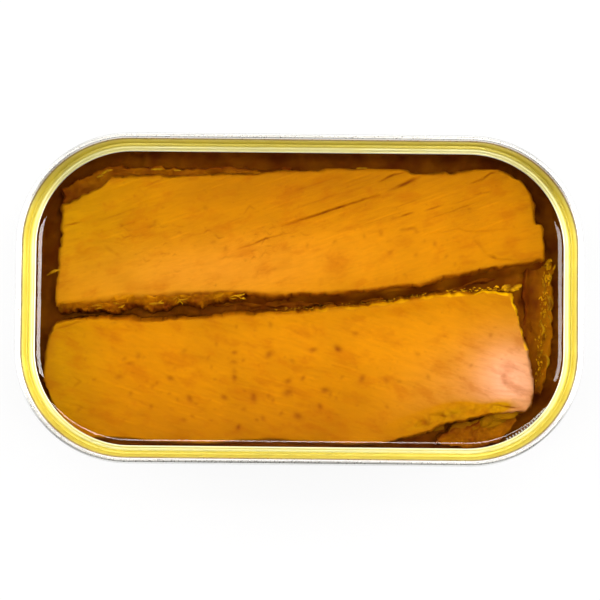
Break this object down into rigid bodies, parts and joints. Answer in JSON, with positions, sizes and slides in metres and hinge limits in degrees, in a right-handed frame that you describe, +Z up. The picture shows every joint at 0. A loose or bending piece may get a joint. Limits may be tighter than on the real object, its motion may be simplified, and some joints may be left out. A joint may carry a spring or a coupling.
{
  "type": "opened tin of tuna in oil",
  "caption": "Open rectangular tin with rounded corners and a gold-lacquered rim, holding tuna fillets and flakes under clear amber oil.",
  "frame": {"origin": "middle of the footprint on the table", "axes": "+X along the tin, +Y to the back fillet, +Z up out of the open top"},
  "size_m": [0.1046, 0.0608, 0.0285],
  "materials": {
    "tin_outside": "satin",
    "lacquered_end": "gloss",
    "tuna_fillet": "satin",
    "tuna_flake": "satin",
    "fish_oil": "gloss"
  },
  "bodies": {
    "root": {"can_body": "tin_outside", "end_ring": "lacquered_end", "fillet_back": "tuna_fillet", "fillet_front": "tuna_fillet", "flake_side": "tuna_flake", "flake_end": "tuna_flake", "flake_trim": "tuna_flake", "flake_gap": "tuna_flake", "oil": "fish_oil"}
  },
  "joints": []
}
